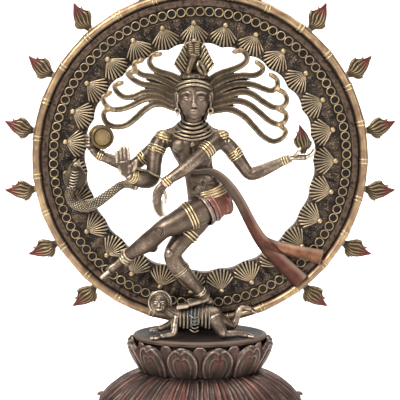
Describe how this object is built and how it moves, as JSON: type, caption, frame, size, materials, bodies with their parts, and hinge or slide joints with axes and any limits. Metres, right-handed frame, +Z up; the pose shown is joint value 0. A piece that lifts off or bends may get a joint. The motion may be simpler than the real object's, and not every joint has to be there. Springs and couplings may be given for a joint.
{
  "type": "hindu deity statue",
  "caption": "Cast statue of a four-armed dancer on one leg inside a ring of flames, standing on a dwarf on a double lotus base",
  "frame": {"origin": "middle of the underside of the felt, where the statue stands", "axes": "+Z up, front of the statue towards -Y, the dancer's right hand side towards -X"},
  "size_m": [0.212, 0.076, 0.2495],
  "materials": {
    "felt": "matt felt",
    "lotus_bronze": "satin bronze patina with copper-red rubbing",
    "deck_bronze": "satin dark bronze patina, rubbed rim",
    "dark_bronze": "satin dark bronze patina",
    "rim_bronze": "satin bronze patina, rubbed gold on the crown",
    "rubbed_gold": "satin gold-bronze, hand rubbed",
    "flame_gold": "satin gold-bronze with red-copper tips",
    "skin_bronze": "satin brown bronze patina",
    "crown_bronze": "satin dark bronze with rubbed gold edges",
    "hair_bronze": "satin dark bronze with rubbed edges",
    "cloth_copper": "satin copper-red bronze",
    "drum_gold": "satin gold-bronze",
    "cobra_bronze": "satin dark bronze with rubbed scales",
    "dowel_steel": "turned steel"
  },
  "bodies": {
    "root": {"felt_pad": "felt", "lower_lotus": "lotus_bronze", "upper_lotus": "lotus_bronze", "deck_plate": "deck_bronze", "ring_support": "dark_bronze", "ring_pins": "dowel_steel", "ring_disc": "dark_bronze", "rim_tube": "rim_bronze", "rim_bands": "rubbed_gold", "circlet_chain": "rubbed_gold", "fan_shells": "rubbed_gold", "fan_beads": "rubbed_gold", "flame_01": "flame_gold", "flame_02": "flame_gold", "flame_03": "flame_gold", "flame_04": "flame_gold", "flame_05": "flame_gold", "flame_06": "flame_gold", "flame_07": "flame_gold", "flame_08": "flame_gold", "flame_09": "flame_gold", "flame_10": "flame_gold", "flame_11": "flame_gold", "flame_12": "flame_gold", "flame_13": "flame_gold", "flame_14": "flame_gold", "flame_15": "flame_gold", "dwarf_body": "skin_bronze", "dwarf_head": "skin_bronze", "torso": "skin_bronze", "head": "skin_bronze", "crown": "crown_bronze", "headband": "rubbed_gold", "hair_right": "hair_bronze", "hair_left": "hair_bronze", "arm_front_right": "skin_bronze", "arm_rear_right": "skin_bronze", "arm_front_left": "skin_bronze", "arm_rear_left": "skin_bronze", "leg_raised": "skin_bronze", "leg_standing": "skin_bronze", "waist_cloth": "cloth_copper", "belt": "rubbed_gold", "sash": "cloth_copper", "necklaces": "rubbed_gold", "shoulder_caps": "rubbed_gold", "armlets": "rubbed_gold", "bracelets": "rubbed_gold", "thigh_bands": "rubbed_gold", "anklets": "rubbed_gold", "earrings": "rubbed_gold", "drum": "drum_gold", "hand_flame": "flame_gold", "cobra": "cobra_bronze"}
  },
  "joints": []
}
